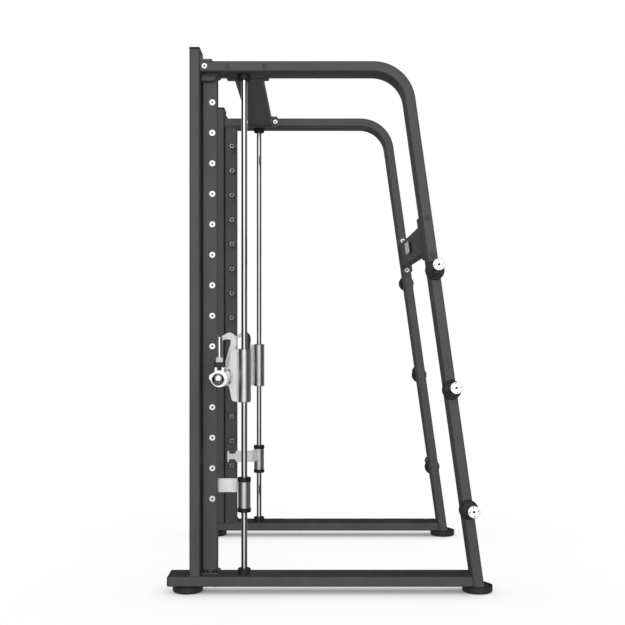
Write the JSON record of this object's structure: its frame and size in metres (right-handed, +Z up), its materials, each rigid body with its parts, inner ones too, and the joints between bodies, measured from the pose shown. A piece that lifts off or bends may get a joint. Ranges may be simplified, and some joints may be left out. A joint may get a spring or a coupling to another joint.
{
  "type": "smith machine",
  "caption": "Smith machine with bent-tube side frames, round guide rods, a hooked bar on a sliding carriage, safety stops and plate storage pegs.",
  "frame": {"origin": "on the floor under the middle of the whole machine's box", "axes": "+X across the machine to the right side frame, +Y from the back uprights to the sloping legs, +Z up"},
  "size_m": [1.691, 1.3459, 2.248],
  "materials": {
    "frame_paint": "satin powder coat",
    "upright_paint": "satin powder coat",
    "peg_chrome": "polished, bevelled ends",
    "rod_chrome": "hard chrome, polished",
    "cap_plastic": "fine grain",
    "socket_black": "satin",
    "bolt_steel": "zinc plated",
    "bolt_black": "black oxide",
    "foot_rubber": "matt",
    "nameplate_metal": "plain satin plate",
    "bracket_black": "satin",
    "plug_black": "satin",
    "disc_black": "fine grain",
    "storage_steel": "satin",
    "storage_cap_metal": "satin, turned",
    "housing_steel": "turned, satin",
    "plate_paint": "satin",
    "liner_plastic": "smooth",
    "bearing_steel": "turned, bright",
    "bar_chrome": "polished",
    "hook_steel": "satin light grey",
    "hook_cover_plastic": "semi gloss",
    "collar_black": "satin",
    "sleeve_chrome": "turned, satin chrome",
    "bush_bronze": "sintered",
    "sleeve_cap_metal": "polished dome",
    "lock_alloy": "satin",
    "lock_black": "satin",
    "grip_chrome": "polished",
    "stop_steel": "turned, satin",
    "stop_paint": "satin light grey",
    "stop_rubber": "matt"
  },
  "bodies": {
    "frame": {"base_beam_left": "frame_paint", "base_beam_right": "frame_paint", "back_upright_left": "frame_paint", "back_upright_right": "frame_paint", "arch_left": "frame_paint", "arch_right": "frame_paint", "peg_upright_left": "upright_paint", "peg_upright_right": "upright_paint", "rack_pegs_left": "peg_chrome", "rack_pegs_right": "peg_chrome", "guide_rod_left": "rod_chrome", "guide_rod_right": "rod_chrome", "base_end_caps": "cap_plastic", "upright_caps": "cap_plastic", "peg_upright_flanges": "frame_paint", "rod_sockets": "socket_black", "top_gussets": "frame_paint", "flange_bolts": "bolt_black", "rear_feet": "foot_rubber", "front_feet": "foot_rubber", "top_cross_tube": "frame_paint", "front_cross_tube": "frame_paint", "cross_tube_plates": "frame_paint", "frame_bolts": "bolt_steel", "bolt_plugs": "plug_black", "blank_nameplate": "nameplate_metal", "nameplate_bracket": "bracket_black", "storage_discs": "disc_black", "storage_tubes": "storage_steel", "storage_caps": "storage_cap_metal"},
    "carriage": {"carriage_housing_left": "housing_steel", "carriage_housing_right": "housing_steel", "carriage_plate_left": "plate_paint", "carriage_plate_right": "plate_paint", "housing_liners": "liner_plastic", "bar_bearings": "bearing_steel", "bearing_screws": "bolt_black"},
    "bar": {"bar_shaft": "bar_chrome", "bar_hook_left": "hook_steel", "bar_hook_right": "hook_steel", "hook_covers": "hook_cover_plastic", "shaft_collars": "collar_black"},
    "sleeve_left": {"weight_sleeve_left": "sleeve_chrome", "sleeve_bushes_left": "bush_bronze", "sleeve_cap_left": "sleeve_cap_metal"},
    "plate_lock_left": {"lock_ring_left": "lock_alloy", "lock_clamp_left": "lock_black", "lock_grip_left": "grip_chrome"},
    "stop_slider_left": {"stop_rings_left": "stop_rubber"},
    "stop_left": {"stop_sleeve_left": "stop_steel", "stop_plate_left": "stop_paint"},
    "sleeve_right": {"weight_sleeve_right": "sleeve_chrome", "sleeve_bushes_right": "bush_bronze", "sleeve_cap_right": "sleeve_cap_metal"},
    "plate_lock_right": {"lock_ring_right": "lock_alloy", "lock_clamp_right": "lock_black", "lock_grip_right": "grip_chrome"},
    "stop_slider_right": {"stop_rings_right": "stop_rubber"},
    "stop_right": {"stop_sleeve_right": "stop_steel", "stop_plate_right": "stop_paint"}
  },
  "joints": [
    {"name": "carriage_slide", "type": "slide", "parent": "frame", "child": "carriage", "axis": [0, 0, 1], "range_m": [-0.254, 1.016]},
    {"name": "bar_turn", "type": "hinge", "parent": "carriage", "child": "bar", "pos_m": [0, -0.445, 0.894], "axis": [1, 0, 0], "range_deg": [-45, 23]},
    {"name": "sleeve_spin_left", "type": "hinge", "parent": "bar", "child": "sleeve_left", "pos_m": [-0.72, -0.445, 0.894], "axis": [1, 0, 0], "continuous": true},
    {"name": "lock_slide_left", "type": "slide", "parent": "sleeve_left", "child": "plate_lock_left", "axis": [-1, 0, 0], "range_m": [-0.11, 0.048]},
    {"name": "stop_lift_left", "type": "slide", "parent": "frame", "child": "stop_slider_left", "axis": [0, 0, 1], "range_m": [-0.017, 0.036]},
    {"name": "stop_swing_left", "type": "hinge", "parent": "stop_slider_left", "child": "stop_left", "pos_m": [-0.579, -0.3595, 0.402], "axis": [0, 0, 1], "range_deg": [0, 100]},
    {"name": "sleeve_spin_right", "type": "hinge", "parent": "bar", "child": "sleeve_right", "pos_m": [0.72, -0.445, 0.894], "axis": [1, 0, 0], "continuous": true},
    {"name": "lock_slide_right", "type": "slide", "parent": "sleeve_right", "child": "plate_lock_right", "axis": [1, 0, 0], "range_m": [-0.11, 0.048]},
    {"name": "stop_lift_right", "type": "slide", "parent": "frame", "child": "stop_slider_right", "axis": [0, 0, 1], "range_m": [-0.017, 0.036]},
    {"name": "stop_swing_right", "type": "hinge", "parent": "stop_slider_right", "child": "stop_right", "pos_m": [0.579, -0.3595, 0.402], "axis": [0, 0, -1], "range_deg": [0, 100]}
  ]
}
